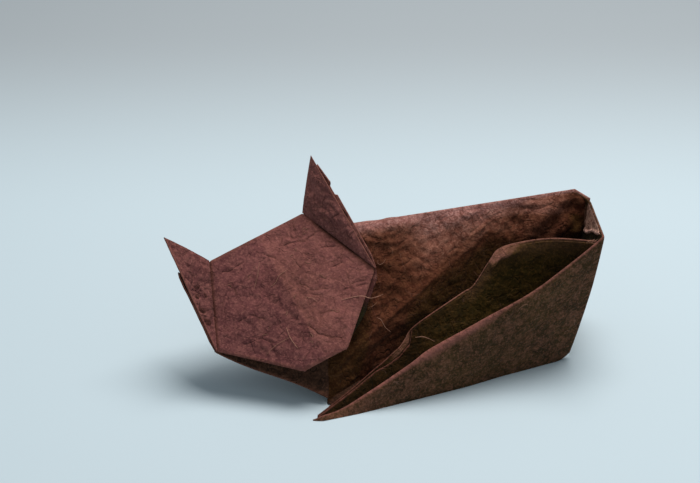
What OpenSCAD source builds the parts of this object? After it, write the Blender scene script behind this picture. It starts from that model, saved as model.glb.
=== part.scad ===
// Cat lying down, folded from one sheet of handmade paper.
// The back is one long fold with a broad slope on the near side; at the rear the sheet turns the
// corner and runs forward again as the tail, a V-shaped pocket that ends in a point beside the chest.
// Lengths are in millimetres. Places are measured from the tail's tip, and the finished cat is then
// centred on its own footprint.

/* [Sheet] */
// Thickness of the sheet where it lies in two layers
sheet_t = 0.6; // [0.4:0.05:0.9]
// Thickness across the soft fold along the tail's top edge
tail_fold_d = 1.6; // [1:0.1:2.4]
// Thickness across the fold along the back and down the rear corners
back_fold_d = 1; // [0.7:0.1:1.6]

/* [Face] */
// Width of the face along its top edge, between the ears
face_top_w = 24; // [20:0.5:28]
// Width of the face across the cheeks, at the lower ends of the ears
face_cheek_w = 40; // [34:0.5:46]
// Width of the blunt chin
face_chin_w = 10.6; // [8:0.2:14]
// Drop from the top edge to the cheeks
face_cheek_drop = 19.7; // [16:0.1:23]
// Drop from the top edge to the chin
face_h = 33.4; // [29:0.1:38]
// Rise of the crease down the middle of the face, from the cheeks on
face_crown = 1.6; // [0.4:0.1:2.4]
// Gap between the face and the layer folded behind it
face_layer_gap = 0.3; // [0.2:0.1:1]
// Width by which the layer behind shows along the near cheek
face_layer_show = 0.8; // [0.3:0.1:1.5]

/* [Head place] */
// Middle of the face's top edge, along the tail from its tip
head_x = 0.2; // [-3:0.1:3]
// Middle of the face's top edge, across the cat from the tail's tip
head_y = 33; // [30:0.1:36]
// Middle of the face's top edge, above the table
head_z = 28.7; // [27:0.1:31]
// Turn of the face about the upright axis
head_yaw = -25; // [-32:1:-18]
// Upward lean of the face, 90 facing straight up
head_pitch = 50; // [45:1:55]
// Tilt of the face to its own side
head_roll = 29.6; // [24:0.1:34]

/* [Ears] */
// Length of an ear from its fold to its tip
ear_h = 12.7; // [10:0.1:15]
// Reach of the near ear's tip past the top of its fold
near_tip_reach = 4.9; // [3:0.1:6.5]
// Reach of the far ear's tip past the top of its fold
far_tip_reach = 3.2; // [2:0.1:5]
// Angle that the near ear is folded forward
near_ear_fold = 42.4; // [30:0.1:60]
// Angle that the far ear is folded forward
far_ear_fold = 47.7; // [30:0.1:60]
// Angle between an ear's two layers
ear_layer_spread = 3; // [2:0.5:8]
// Width of the second layer that shows along an ear's outer edge
ear_layer_show = 0.7; // [0.3:0.1:1.2]

/* [Body] */
// Length of the back fold, seen from above
back_l = 58.1; // [52:0.1:64]
// Turn of the back fold away from the tail
back_yaw = -14; // [-17:0.5:-11]
// Height of the back fold at the rear
back_rear_h = 34.3; // [31:0.1:38]
// Length of the bevel where the back fold drops to the rear corner
bevel_l = 3.1; // [2:0.1:5]
// Sideways shift of the rear corner towards the tail
bevel_side = 2; // [1:0.1:3]
// Drop of the rear corner below the back fold
bevel_drop = 2.1; // [1:0.1:4]
// Corner of the chest on the table, along the tail from its tip
chest_foot_x = 5.2; // [3:0.1:8]
// Corner of the chest on the table, across from the tail's tip
chest_foot_y = 3.9; // [3:0.1:6]
// Height of the chest corner's small upright edge
chest_foot_h = 1.8; // [1:0.1:3]
// Step of the near side behind the chest corner, along the tail
side_step_x = 8.7; // [6:0.1:12]
// Step of the near side behind the chest corner, across
side_step_y = 3.9; // [2:0.1:5]
// Forward rake of the rear corner's foot
rear_rake = 2; // [0:0.1:4]
// Spread of the far side at the rear, from the back fold to the table
far_rear_spread = 2.5; // [1.5:0.1:5]
// Spread of the far side at the front, from the neck to the table
far_front_spread = 9; // [6:0.1:14]
// Outward belly of the far side
far_belly = 1.2; // [0:0.1:2.5]
// Outward belly of the near side behind its crease
near_belly = 1.2; // [0:0.1:2.5]

/* [Tail] */
// Length of the tail along the table, tip to rear corner
tail_l = 63.6; // [57:0.1:70]
// Sideways drift of the rear corner from the tip
tail_drift = 2.5; // [0:0.1:4]
// Outward bow of the tail's foot between tip and rear corner
tail_bow = 0.8; // [0:0.1:2]
// Lift of the rounded heel at the rear corner
heel_lift = 1.8; // [0.5:0.1:3]
// Height of the tail's outer wall at the rear corner
tail_h = 34; // [30:0.1:38]
// Outward lean of the outer wall at the rear corner
tail_lean = 4.3; // [2:0.1:7]
// Backward rake of the rear corner
tail_rake = 3.2; // [1:0.1:5]
// Height of the tail's blunt tip
tail_tip_h = 0.7; // [0.5:0.1:1.5]
// Greatest spread of the pocket from the table line to its inner wall
pocket_w = 10.5; // [8:0.1:12]
// Widest split between the two layers of the inner wall's edge
split_w = 0.7; // [0.5:0.1:2]

/* [Hidden] */
paper_color = [0.33, 0.21, 0.17];

// Side crease: share of the chest fold where its line starts, and of the body's length where the
// line would meet the back and where the crease leaves it for the rear edge
crease_start_share = 0.08;
crease_end_share = 0.72;
crease_leave_share = 0.61;
// Place of the crease from the back fold to that line, and of its end down the rear edge
crease_reach_share = 0.94;
crease_rear_share = 0.3;
// Share of the body's length taken by the back fold before its bevel
back_share = 0.94;
// Share of the near side's length at which its foot has stepped back
step_share = 0.16;
// Share of the rear turn's foot, from the far side, where the near side meets it
near_rear_share = 0.26;
// Neck place on the back of the head, as shares of half the cheek width and of the face height
neck_shares = [0.764, 0.18];
// Outer wall's top edge: shares of the tail's length, and of its height and lean
wall_top_shares = [
    [0.00, 0.000],
    [0.09, 0.015],
    [0.21, 0.125],
    [0.34, 0.270],
    [0.42, 0.370],
    [0.60, 0.520],
    [0.76, 0.655],
    [0.92, 0.870],
    [1.00, 1.000]];
// Fullness of the outer wall's soft fold from tip to rear, as shares
wall_fold_shares = [0.3, 0.5, 0.8, 1, 1, 0.7, 0.5, 0.4];
// Inner wall's top edge: shares of the tail's length, of its height and of the pocket's spread
flap_top_shares = [
    [0.02, 0.000, 0.03],
    [0.15, 0.080, 0.28],
    [0.25, 0.165, 0.45],
    [0.32, 0.225, 0.56],
    [0.38, 0.330, 0.67],
    [0.45, 0.403, 0.77],
    [0.62, 0.525, 0.91],
    [0.67, 0.565, 0.93],
    [0.73, 0.715, 0.97],
    [0.77, 0.795, 1.00],
    [0.84, 0.840, 0.86],
    [0.94, 0.890, 0.48],
    [1.05, 0.920, -0.13]];
// Share of the tail's length at which the heel starts to lift
heel_share = 0.94;
// Stretch of the inner wall over which its two layers part, and the height from which they do
split_shares = [0.22, 0.46];
split_foot_share = 0.4;
// Step of the inner wall's foot inside the outer wall's, as a share of the sheet's thickness
foot_step_share = 0.75;
// Thickness of one layer, and of a pressed crease, as shares of the sheet's
layer_share = 0.5;
crease_share = 1.3;
// Second layer of an ear, as shares from the cheek to the tip: where its edge steps back, where it
// stands out again, and where it runs out below the tip
ear_step_shares = [0.64, 0.74, 0.92];
// Steps along and across a panel, and sides of a rounded fold
along_n = 24;
across_n = 4;
fold_n = 8;

function mix(a, b, s) = a + (b - a) * s;
function unit(v) = v / norm(v);

// Smooth curve through the points, s running from 0 to 1
function curve(pts, s) =
    let (
        n = len(pts) - 1,
        k = min(floor(s * n), n - 1),
        f = s * n - k,
        p0 = pts[max(k - 1, 0)],
        p1 = pts[k],
        p2 = pts[k + 1],
        p3 = pts[min(k + 2, n)]
    )
    p1 + ((p2 - p0) * f + (2 * p0 - 5 * p1 + 4 * p2 - p3) * f * f
        + (3 * p1 - p0 - 3 * p2 + p3) * f * f * f) / 2;

// Turning a point by an angle about X and about Z
function turn_x(p, a) = [p[0], p[1] * cos(a) - p[2] * sin(a), p[1] * sin(a) + p[2] * cos(a)];
function turn_z(p, a) = [p[0] * cos(a) - p[1] * sin(a), p[0] * sin(a) + p[1] * cos(a), p[2]];

// A point of the head, given across, up and out of the face from the middle of its top edge
function on_head(p) =
    [head_x, head_y, head_z]
    + turn_z(turn_x(turn_z(p, head_roll), 90 - head_pitch), head_yaw);

// Layer behind the face, and the thickness of the folds that join the two
layer_back = -face_layer_gap - sheet_t;
face_fold_d = face_layer_gap + sheet_t;
crease_d = crease_share * sheet_t;
// Height of the face over a flat one: none along the top edge, and none at the cheeks
function face_rise(x, y) =
    face_crown * min(1, -y / face_cheek_drop) * (1 - 2 * abs(x) / face_cheek_w);

// Fold of an ear, from the top edge's end to the cheek
ear_fold_run = [(face_cheek_w - face_top_w) / 2, -face_cheek_drop];
ear_fold_l = norm(ear_fold_run);
ear_fold_turn = atan2(ear_fold_run[1], ear_fold_run[0]);

// Where the back fold, the chest and the head meet
function behind_face(x, y) = on_head([x, y, layer_back + face_rise(x, y)]);
neck = behind_face(neck_shares[0] * face_cheek_w / 2, -neck_shares[1] * face_h);
cheek = behind_face(-face_cheek_w / 2, -face_cheek_drop);
foot = [chest_foot_x, chest_foot_y, 0];
foot_top = foot + [0, 0, chest_foot_h];

// Back fold, rear corner and the feet of the body's two sides
rump = [neck[0] + back_l * cos(back_yaw), neck[1] + back_l * sin(back_yaw), back_rear_h];
corner = rump + [bevel_l, -bevel_side, -bevel_drop];
tail_end = [tail_l, -tail_drift, 0];
far_rear = [corner[0] - rear_rake, corner[1] + far_rear_spread, 0];
near_rear = mix(far_rear, tail_end, near_rear_share);
far_front = [neck[0], neck[1] + far_front_spread, 0];
side_step = foot + [side_step_x, side_step_y, 0];

// Tail corners at the rear
tail_foot = tail_end + [0, 0, heel_lift];
tail_top = tail_end + [tail_rake, -tail_lean, tail_h];

// Lines along the body, s running from the neck to the rear corner
function back_line(s) =
    s < back_share ? mix(neck, rump, s / back_share)
                   : mix(rump, corner, (s - back_share) / (1 - back_share));
crease_start = mix(foot_top, neck, crease_start_share);
crease_end = back_line(crease_end_share) - [0, 0, back_fold_d];
function near_foot(s) =
    s < step_share ? mix(foot, side_step, s / step_share)
                   : mix(side_step, near_rear, (s - step_share) / (1 - step_share));
function far_foot(s) = mix(far_front, far_rear, s);
function crease_line(s) =
    let (
        a = min(s, crease_leave_share),
        t = (s - a) / (1 - crease_leave_share),
        line = mix(crease_start, crease_end, a / crease_end_share)
    )
    mix(mix(back_line(a), line, crease_reach_share), mix(corner, near_rear, crease_rear_share), t)
    - [0, near_belly * sin(180 * t), 0];
function far_bulge(s, f) = [0, far_belly * sin(180 * s) * sin(180 * f), 0];

// Lines along the tail, s running from the tip to the rear corner
function heel(s) = heel_lift * pow(max(0, (s - heel_share) / (1 - heel_share)), 2);
function tail_line(s) = mix([0, 0, 0], tail_end, s) + [0, -tail_bow * sin(180 * s), 0];
function tail_edge(s) = tail_line(s) + [0, 0, heel(s)];
function wall_top(s) =
    let (c = curve(wall_top_shares, s))
    tail_line(c[0])
    + [tail_rake * c[1], -tail_lean * c[1], mix(tail_tip_h, tail_h, c[1])];
function flap_top(s) =
    let (c = curve(flap_top_shares, s))
    tail_line(c[0])
    + [0, pocket_w * c[2], mix(tail_tip_h, tail_h, c[1])];
function wall_foot(s) = tail_edge(curve(wall_top_shares, s)[0]);
function flap_foot(s) =
    tail_edge(mix(curve(flap_top_shares, s)[0], s, s)) + [0, foot_step_share * sheet_t, 0];
function wall_fold(s) = mix(sheet_t, tail_fold_d, curve(wall_fold_shares, s));
// Second layer of the inner wall, standing off from the first between the ends of the split
function split_layer(r, f) =
    let (s = mix(split_shares[0], split_shares[1], r))
    mix(flap_foot(s), flap_top(s), mix(split_foot_share, 1, f))
    + [0, split_w * sin(180 * r) * f * f, 0];

// Direction square to a grid of points, at row i and column j, level where the grid meets the table
function square_to(grid, i, j, stands) =
    let (
        n = len(grid) - 1,
        m = len(grid[0]) - 1,
        along = grid[min(i + 1, n)][j] - grid[max(i - 1, 0)][j],
        across = grid[i][min(j + 1, m)] - grid[i][max(j - 1, 0)],
        d = cross(along, across)
    )
    stands && grid[i][j][2] <= 0 ? unit([d[0], d[1], 0]) : unit(d);

// A panel of the sheet, with the grid of points as its middle; one that stands keeps its foot flat
module panel(grid, t, stands = false) {
    n = len(grid);
    m = len(grid[0]);
    count = n * m;
    skins = [
        for (side = [t / 2, -t / 2])
            for (i = [0 : n - 1])
                for (j = [0 : m - 1])
                    grid[i][j] + square_to(grid, i, j, stands) * side];
    faces = concat(
        [for (i = [0 : n - 2]) for (j = [0 : m - 2]) let (a = i * m + j)
            each [[a, a + 1, a + m + 1], [a, a + m + 1, a + m]]],
        [for (i = [0 : n - 2]) for (j = [0 : m - 2]) let (a = count + i * m + j)
            each [[a, a + m + 1, a + 1], [a, a + m, a + m + 1]]],
        [for (i = [0 : n - 2]) for (j = [0, m - 1]) let (a = i * m + j, b = a + m)
            each j == 0 ? [[a, b, b + count], [a, b + count, a + count]]
                        : [[a, b + count, b], [a, a + count, b + count]]],
        [for (j = [0 : m - 2]) for (i = [0, n - 1]) let (a = i * m + j, b = a + 1)
            each i == 0 ? [[a, b + count, b], [a, a + count, b + count]]
                        : [[a, b, b + count], [a, b + count, a + count]]]);
    polyhedron(skins, faces);
}

// A rounded fold through the points, with a thickness for each of them
module soft_fold(pts, ds) {
    for (i = [0 : len(pts) - 2])
        hull() {
            translate(pts[i]) sphere(d = ds[i], $fn = fold_n);
            translate(pts[i + 1]) sphere(d = ds[i + 1], $fn = fold_n);
        }
}
// The same with one thickness all along
module even_fold(pts, d) {
    soft_fold(pts, [for (p = pts) d]);
}

// Face, its two flat halves meeting in a low ridge, and the layer folded behind it
module face_layer() {
    rows = [[face_top_w, 0], [face_cheek_w, -face_cheek_drop], [face_chin_w, -face_h]];
    panel([for (r = rows) [for (k = [-1, 0, 1]) let (x = k * r[0] / 2)
        [x, r[1], face_rise(x, r[1])]]], sheet_t);
}
module face_layers() {
    face_layer();
    translate([face_layer_show / 2, face_layer_show / 2, layer_back]) face_layer();
}

// One ear in its own plane: its fold lies along X and it stands up along Y
module ear_outline(tip_reach) {
    polygon([[0, 0], [ear_fold_l, 0], [-tip_reach, ear_h]]);
}
module ear_second_outline(tip_reach) {
    low = [ear_fold_l, 0];
    tip = [-tip_reach, ear_h];
    out = ear_layer_show * unit([ear_h, ear_fold_l + tip_reach]);
    polygon([
        [0, 0],
        low,
        low + out,
        mix(low, tip, ear_step_shares[0]) + out,
        mix(low, tip, ear_step_shares[0]),
        mix(low, tip, ear_step_shares[1]),
        mix(low, tip, ear_step_shares[1]) + out,
        mix(low, tip, ear_step_shares[2]),
        mix([0, 0], tip, ear_step_shares[2])]);
}
module ear(tip_reach, fold) {
    translate([face_top_w / 2, 0, 0])
        rotate([0, 0, ear_fold_turn]) {
            rotate([fold, 0, 0])
                translate([0, 0, -sheet_t / 2])
                    linear_extrude(sheet_t) ear_outline(tip_reach);
            rotate([fold - ear_layer_spread, 0, 0])
                translate([0, 0, -sheet_t])
                    linear_extrude(sheet_t) ear_second_outline(tip_reach);
        }
}
module ear_creases() {
    for (side = [-1, 1])
        even_fold([
            [side * face_top_w / 2, 0, 0],
            [side * face_cheek_w / 2, -face_cheek_drop, 0]], crease_d);
}
// Edges folded over from the face to the layer behind it
module head_edges() {
    inset = face_fold_d / 2;
    function edge(x, y) = [x, y, face_rise(x, y) + layer_back / 2];
    top_x = face_top_w / 2 - inset;
    cheek_x = face_cheek_w / 2 - inset;
    chin_x = face_chin_w / 2 - inset;
    for (side = [-1, 1])
        even_fold([
            edge(side * cheek_x, -face_cheek_drop),
            edge(side * chin_x, inset - face_h)], face_fold_d);
    even_fold([edge(-top_x, -inset), edge(0, -inset), edge(top_x, -inset)], face_fold_d);
}
module head() {
    translate([head_x, head_y, head_z])
        rotate([0, 0, head_yaw])
            rotate([90 - head_pitch, 0, 0])
                rotate([0, 0, head_roll]) {
                    face_layers();
                    ear_creases();
                    head_edges();
                    ear(near_tip_reach, near_ear_fold);
                    mirror([1, 0, 0]) ear(far_tip_reach, far_ear_fold);
                }
}

// Chest: from the fold between neck and foot round to the far cheek
module chest() {
    rim = cheek + (neck - cheek) * (back_fold_d / norm(neck - cheek));
    panel([for (i = [0 : across_n]) let (s = i / across_n)
        [for (j = [0 : across_n]) let (f = j / across_n)
            mix(mix(cheek, foot_top, s), mix(rim, neck, s), f)]], sheet_t);
    even_fold([foot + [0, 0, back_fold_d / 2], foot_top, neck], back_fold_d);
}

// Body: near slope, the steep side below its crease, the far side and the back fold
module body() {
    shares = [for (i = [0 : along_n]) i / along_n];
    panel([for (s = shares) concat(
        [for (j = [0 : across_n]) mix(back_line(s), crease_line(s), j / across_n)],
        [for (j = [1 : across_n]) mix(crease_line(s), near_foot(s), j / across_n)])],
        sheet_t, stands = true);
    panel([for (s = shares) [for (j = [0 : across_n])
        mix(far_foot(s), back_line(s), j / across_n) + far_bulge(s, j / across_n)]],
        sheet_t, stands = true);
    even_fold([neck, rump, corner], back_fold_d);
    even_fold([crease_line(0), crease_line(crease_leave_share)], crease_d);
}

// Rear turn: from the far side's rear edge round to the tail's rear corner
module rear_turn() {
    panel([for (i = [0 : across_n]) let (s = i / across_n)
        [for (j = [0 : across_n])
            mix(mix(far_rear, corner, s), mix(tail_foot, tail_top, s), j / across_n)]],
        sheet_t, stands = true);
    lift = [0, 0, back_fold_d / 2];
    even_fold([corner, far_rear + lift], back_fold_d);
    even_fold([tail_top, tail_foot], back_fold_d);
    even_fold([corner, tail_top], back_fold_d);
}

// Tail: outer wall with its soft top fold, and the inner wall in two layers
module tail() {
    shares = [for (i = [0 : along_n]) i / along_n];
    panel([for (s = shares) [for (j = [0 : across_n])
        mix(wall_top(s), wall_foot(s), j / across_n)]],
        sheet_t, stands = true);
    soft_fold([for (s = shares) wall_top(s)], [for (s = shares) wall_fold(s)]);
    panel([for (s = shares) [for (j = [0 : across_n])
        mix(flap_foot(s), flap_top(s), j / across_n)]],
        sheet_t, stands = true);
    panel([for (s = shares) [for (j = [0 : across_n]) split_layer(s, j / across_n)]],
        layer_share * sheet_t);
}

// Footprint of the cat, from the far ear's tip to the rear corner and from tail to far side
far_ear_tip = on_head(
    [-face_top_w / 2, 0, 0]
    + turn_z(turn_x([far_tip_reach, ear_h, 0], far_ear_fold), -ear_fold_turn) );
middle = [
    (far_ear_tip[0] - sheet_t / 2 + corner[0] + back_fold_d / 2) / 2,
    (tail_top[1] + far_front[1]) / 2,
    0];

module paper_cat() {
    color(paper_color)
        translate(-middle) {
            head();
            chest();
            body();
            rear_turn();
            tail();
        }
}

paper_cat();
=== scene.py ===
import math
import bpy
import numpy as np
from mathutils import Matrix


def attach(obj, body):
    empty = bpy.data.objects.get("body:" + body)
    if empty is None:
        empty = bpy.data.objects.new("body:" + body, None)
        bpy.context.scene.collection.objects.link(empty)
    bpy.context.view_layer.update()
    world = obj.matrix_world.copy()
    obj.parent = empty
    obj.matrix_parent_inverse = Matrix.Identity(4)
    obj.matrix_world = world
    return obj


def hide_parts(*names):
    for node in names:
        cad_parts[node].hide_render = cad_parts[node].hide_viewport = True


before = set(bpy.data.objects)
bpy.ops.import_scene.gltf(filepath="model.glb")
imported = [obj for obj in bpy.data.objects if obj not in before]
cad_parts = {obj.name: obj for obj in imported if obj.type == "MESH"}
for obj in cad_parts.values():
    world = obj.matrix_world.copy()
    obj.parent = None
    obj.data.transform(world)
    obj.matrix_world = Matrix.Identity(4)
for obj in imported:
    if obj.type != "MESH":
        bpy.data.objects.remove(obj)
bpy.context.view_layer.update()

scene = bpy.context.scene
scene.view_settings.view_transform = "Standard"
mm = 0.001  # every shape below is worked out in millimetres from the tail's tip

# Sizes of the folded cat, the same as the solid's
cat = dict(
    headAt=(0.2, 33, 28.7), headYaw=-25, headPitch=50, headRoll=29.6,
    faceTop=24, faceCheek=40, faceChin=10.6, cheekDrop=19.7, faceHigh=33.4, faceCrown=1.6,
    layerBack=0.9, neckShares=(0.764, 0.18), halfSheet=0.3, halfFold=0.5,
    earHigh=12.7, nearReach=4.9, farReach=3.2, nearFold=42.4, farFold=47.7, layerSpread=1.6,
    backLong=58.1, backYaw=-14, rumpHigh=34.3, bevel=(3.1, -2, -2.1), backShare=0.94,
    foot=(5.2, 3.9, 0), footHigh=1.8, sideStep=(8.7, 3.9, 0), stepShare=0.16,
    rearRake=2, farRear=2.5, farFront=9, farBelly=1.2, nearRearShare=0.26,
    tailLong=63.6, tailDrift=2.5, tailBow=0.8, heelLift=1.8, heelShare=0.94,
    tailHigh=34, tailLean=4.3, tailRake=3.2, tipHigh=0.7, pocketWide=10.5, wallGap=0.45,
)
# Tail edges as shares: along and high for the outer wall, along, high and spread for the inner one
wallRows = [(0, 0), (.09, .015), (.21, .125), (.34, .27), (.42, .37), (.60, .52), (.76, .655),
            (.92, .87), (1, 1)]
flapRows = [(.02, 0, .03), (.15, .08, .28), (.25, .165, .45), (.32, .225, .56), (.38, .330, .67),
            (.45, .403, .77), (.62, .525, .91), (.67, .565, .93), (.73, .715, .97), (.77, .795, 1),
            (.84, .84, .86), (.94, .89, .48), (1.05, .92, -.13)]


# Point turned about X or Z by an angle in degrees
def turnX(p, deg):
    c, s = math.cos(math.radians(deg)), math.sin(math.radians(deg))
    return np.stack([p[..., 0], p[..., 1] * c - p[..., 2] * s, p[..., 1] * s + p[..., 2] * c], -1)


def turnZ(p, deg):
    c, s = math.cos(math.radians(deg)), math.sin(math.radians(deg))
    return np.stack([p[..., 0] * c - p[..., 1] * s, p[..., 0] * s + p[..., 1] * c, p[..., 2]], -1)


# Straight blend of two points, the share s running over any array
def mix(a, b, s):
    a, b = np.asarray(a, float), np.asarray(b, float)
    return a + (b - a) * np.asarray(s, float)[..., None]


# Smooth rise from 0 at a to 1 at b
def ease(a, b, s):
    t = np.clip((np.asarray(s, float) - a) / (b - a), 0, 1)
    return t * t * (3 - 2 * t)


# Bell curve: 1 at the middle, falling away over the width
def bell(s, at, wide):
    return np.exp(-((s - at) / wide) ** 2)


# Vectors made one long
def unit(v):
    return v / np.maximum(np.linalg.norm(v, axis=-1, keepdims=True), 1e-9)


# Height as a vector straight up
def upward(z):
    return np.stack([0 * z, 0 * z, z], -1)


# Grid of two parameters, each from its start to its end
def gridOf(rows, columns, u=(0, 1), v=(0, 1)):
    return np.meshgrid(np.linspace(*u, rows), np.linspace(*v, columns), indexing="ij")


# Catmull-Rom curve through the rows, s from 0 to 1
def smoothLine(rows, s):
    rows = np.asarray(rows, float)
    n = len(rows) - 1
    s = np.asarray(s, float) * n
    k = np.clip(np.floor(s).astype(int), 0, n - 1)
    f = (s - k)[..., None]
    p0, p1, p2, p3 = rows[np.maximum(k - 1, 0)], rows[k], rows[k + 1], rows[np.minimum(k + 2, n)]
    return p1 + ((p2 - p0) * f + (2 * p0 - 5 * p1 + 4 * p2 - p3) * f ** 2
                 + (3 * p1 - p0 - 3 * p2 + p3) * f ** 3) / 2


# Straight pieces through the points, each at its stop
def brokenLine(stops, points, s):
    points = np.asarray(points, float)
    return np.stack([np.interp(s, stops, points[:, k]) for k in range(points.shape[1])], -1)


# Head frame: across, up and out of the face, from the middle of its top edge
def onHead(p):
    p = turnZ(np.asarray(p, float), cat["headRoll"])
    return np.array(cat["headAt"]) + turnZ(turnX(p, 90 - cat["headPitch"]), cat["headYaw"])


# The face is two halves that meet in a low ridge: no height along the top edge, none at the cheeks
def faceRise(x, y):
    return cat["faceCrown"] * np.minimum(1, -y / cat["cheekDrop"]) * (1 - 2 * np.abs(x) / cat["faceCheek"])


def behindFace(x, y):
    return onHead([x, y, faceRise(x, y) - cat["layerBack"]])


neck = behindFace(cat["neckShares"][0] * cat["faceCheek"] / 2, -cat["neckShares"][1] * cat["faceHigh"])
cheek = behindFace(-cat["faceCheek"] / 2, -cat["cheekDrop"])
foot = np.array(cat["foot"], float)
footTop = foot + (0, 0, cat["footHigh"])
backTurn = math.radians(cat["backYaw"])
rump = np.array([neck[0] + cat["backLong"] * math.cos(backTurn),
                 neck[1] + cat["backLong"] * math.sin(backTurn), cat["rumpHigh"]])
corner = rump + cat["bevel"]
tailEnd = np.array([cat["tailLong"], -cat["tailDrift"], 0])
farRear = np.array([corner[0] - cat["rearRake"], corner[1] + cat["farRear"], 0])
nearRear = mix(farRear, tailEnd, cat["nearRearShare"])
farFront = np.array([neck[0], neck[1] + cat["farFront"], 0])
sideStep = foot + cat["sideStep"]
tailFoot = tailEnd + (0, 0, cat["heelLift"])
tailTop = tailEnd + (cat["tailRake"], -cat["tailLean"], cat["tailHigh"])
earLong = math.hypot((cat["faceCheek"] - cat["faceTop"]) / 2, cat["cheekDrop"])
earTurn = math.degrees(math.atan2(-cat["cheekDrop"], (cat["faceCheek"] - cat["faceTop"]) / 2))
farEarTip = onHead(np.array([-cat["faceTop"] / 2, 0, 0]) + turnZ(
    turnX(np.array([cat["farReach"], cat["earHigh"], 0.0]), cat["farFold"]), -earTurn))
middle = np.array([(farEarTip[0] - cat["halfSheet"] + corner[0] + cat["halfFold"]) / 2,
                   (tailTop[1] + farFront[1]) / 2, 0])


def backLine(s):
    return brokenLine([0, cat["backShare"], 1], [neck, rump, corner], s)


def nearFoot(s):
    return brokenLine([0, cat["stepShare"], 1], [foot, sideStep, nearRear], s)


# Middle line of the tail on the table, bowed a little to the near side
def tailLine(s):
    s = np.asarray(s, float)
    return mix(np.zeros(3), tailEnd, s) - np.stack([0 * s, cat["tailBow"] * np.sin(math.pi * s), 0 * s], -1)


# Foot of the tail: the table line, lifted towards the heel as a parabola
def tailEdge(s):
    s = np.asarray(s, float)
    lift = cat["heelLift"] * np.maximum(0, (s - cat["heelShare"]) / (1 - cat["heelShare"])) ** 2
    return tailLine(s) + upward(lift)


def wallTop(s):
    c = smoothLine(wallRows, s)
    h = c[..., 1]
    rise = cat["tipHigh"] + (cat["tailHigh"] - cat["tipHigh"]) * h
    return tailLine(c[..., 0]) + np.stack([cat["tailRake"] * h, -cat["tailLean"] * h, rise], -1)


def wallFoot(s):
    return tailEdge(smoothLine(wallRows, s)[..., 0])


def flapTop(s):
    c = smoothLine(flapRows, s)
    rise = cat["tipHigh"] + (cat["tailHigh"] - cat["tipHigh"]) * c[..., 1]
    return tailLine(c[..., 0]) + np.stack([0 * rise, cat["pocketWide"] * c[..., 2], rise], -1)


def flapFoot(s):
    along = smoothLine(flapRows, s)[..., 0]
    return tailEdge(np.minimum(1, along + (s - along) * s)) + (0, cat["wallGap"], 0)


# Lattice noise from -1 to 1: a fixed random value at each corner of a cell, blended smoothly inside it
def paperNoise(p, cell, seed):
    q = p / cell
    base = np.floor(q).astype(np.int64)
    f = q - base
    f = f * f * (3 - 2 * f)
    table = np.random.RandomState(seed).uniform(-1, 1, 4096)
    total = 0
    for dx, dy, dz in np.ndindex(2, 2, 2):
        i = base + (dx, dy, dz)
        spot = (i[..., 0] * 73856093 ^ i[..., 1] * 19349663 ^ i[..., 2] * 83492791) % len(table)
        w = np.where(dx, f[..., 0], 1 - f[..., 0]) * np.where(dy, f[..., 1], 1 - f[..., 1])
        total = total + w * np.where(dz, f[..., 2], 1 - f[..., 2]) * table[spot]
    return total


# Soft lumps of two sizes, warped so that they follow no grid
def lumps(p, high, cell, seed):
    warp = np.stack([paperNoise(p, cell, seed + k) for k in range(3)], -1)
    q = p + 0.35 * cell * warp
    return high * (paperNoise(q, cell, seed + 3) + 0.5 * paperNoise(q, 0.45 * cell, seed + 4))


# Creases of a crumpled sheet: many short bowed lines, each with a sharp fold in the height that dies away
# from it. Gives the height, and the painted shade drawn along each crease line
def creases(u, v, count, deep, reach, seed):
    dice = np.random.RandomState(seed)
    low, high = (u.min(), v.min()), (u.max(), v.max())
    h, dark = 0 * u, 0 * u
    for spot in dice.uniform(low, high, (count, 2)):
        turn, long = dice.uniform(0, math.pi), reach * dice.uniform(0.5, 1.6)
        amount, bow = dice.uniform(-1, 1), dice.uniform(-0.25, 0.25) / long
        x, y = u - spot[0], v - spot[1]
        e = x * math.cos(turn) + y * math.sin(turn)
        d = y * math.cos(turn) - x * math.sin(turn) + bow * e * e
        ends = bell(e, 0, long)
        h = h + amount * deep / long * np.abs(d) * ends * bell(d, 0, 0.6 * long)
        dark = np.maximum(dark, max(amount, 0) * min(1, 2.2 / reach) * ends * bell(d, 0, 0.16))
    return h, dark


# Large and small creases together
def crushed(u, v, rows):
    h, dark = 0 * u, 0 * u
    for count, deep, reach, seed in rows:
        one, two = creases(u, v, count, deep, reach, seed)
        h, dark = h + one, np.maximum(dark, two)
    return h, dark


# One pressed wrinkle along a line of points: a bell of the distance to the line, fading at both ends
def pressed(x, y, line, wide):
    near, at, last = np.full(x.shape, 1e3), 0 * x, len(line) - 1
    for k in range(last):
        (ax, ay), (bx, by) = line[k], line[k + 1]
        t = ((x - ax) * (bx - ax) + (y - ay) * (by - ay)) / ((bx - ax) ** 2 + (by - ay) ** 2)
        t = np.clip(t, 0, 1)
        d = np.hypot(x - ax - t * (bx - ax), y - ay - t * (by - ay))
        at, near = np.where(d < near, (k + t) / last, at), np.minimum(d, near)
    return bell(near, 0, wide) * ease(0, 0.15, at) * ease(1, 0.85, at)


# Direction square to a grid of points
def squareTo(grid):
    return unit(np.cross(np.gradient(grid, axis=0), np.gradient(grid, axis=1)))


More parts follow.
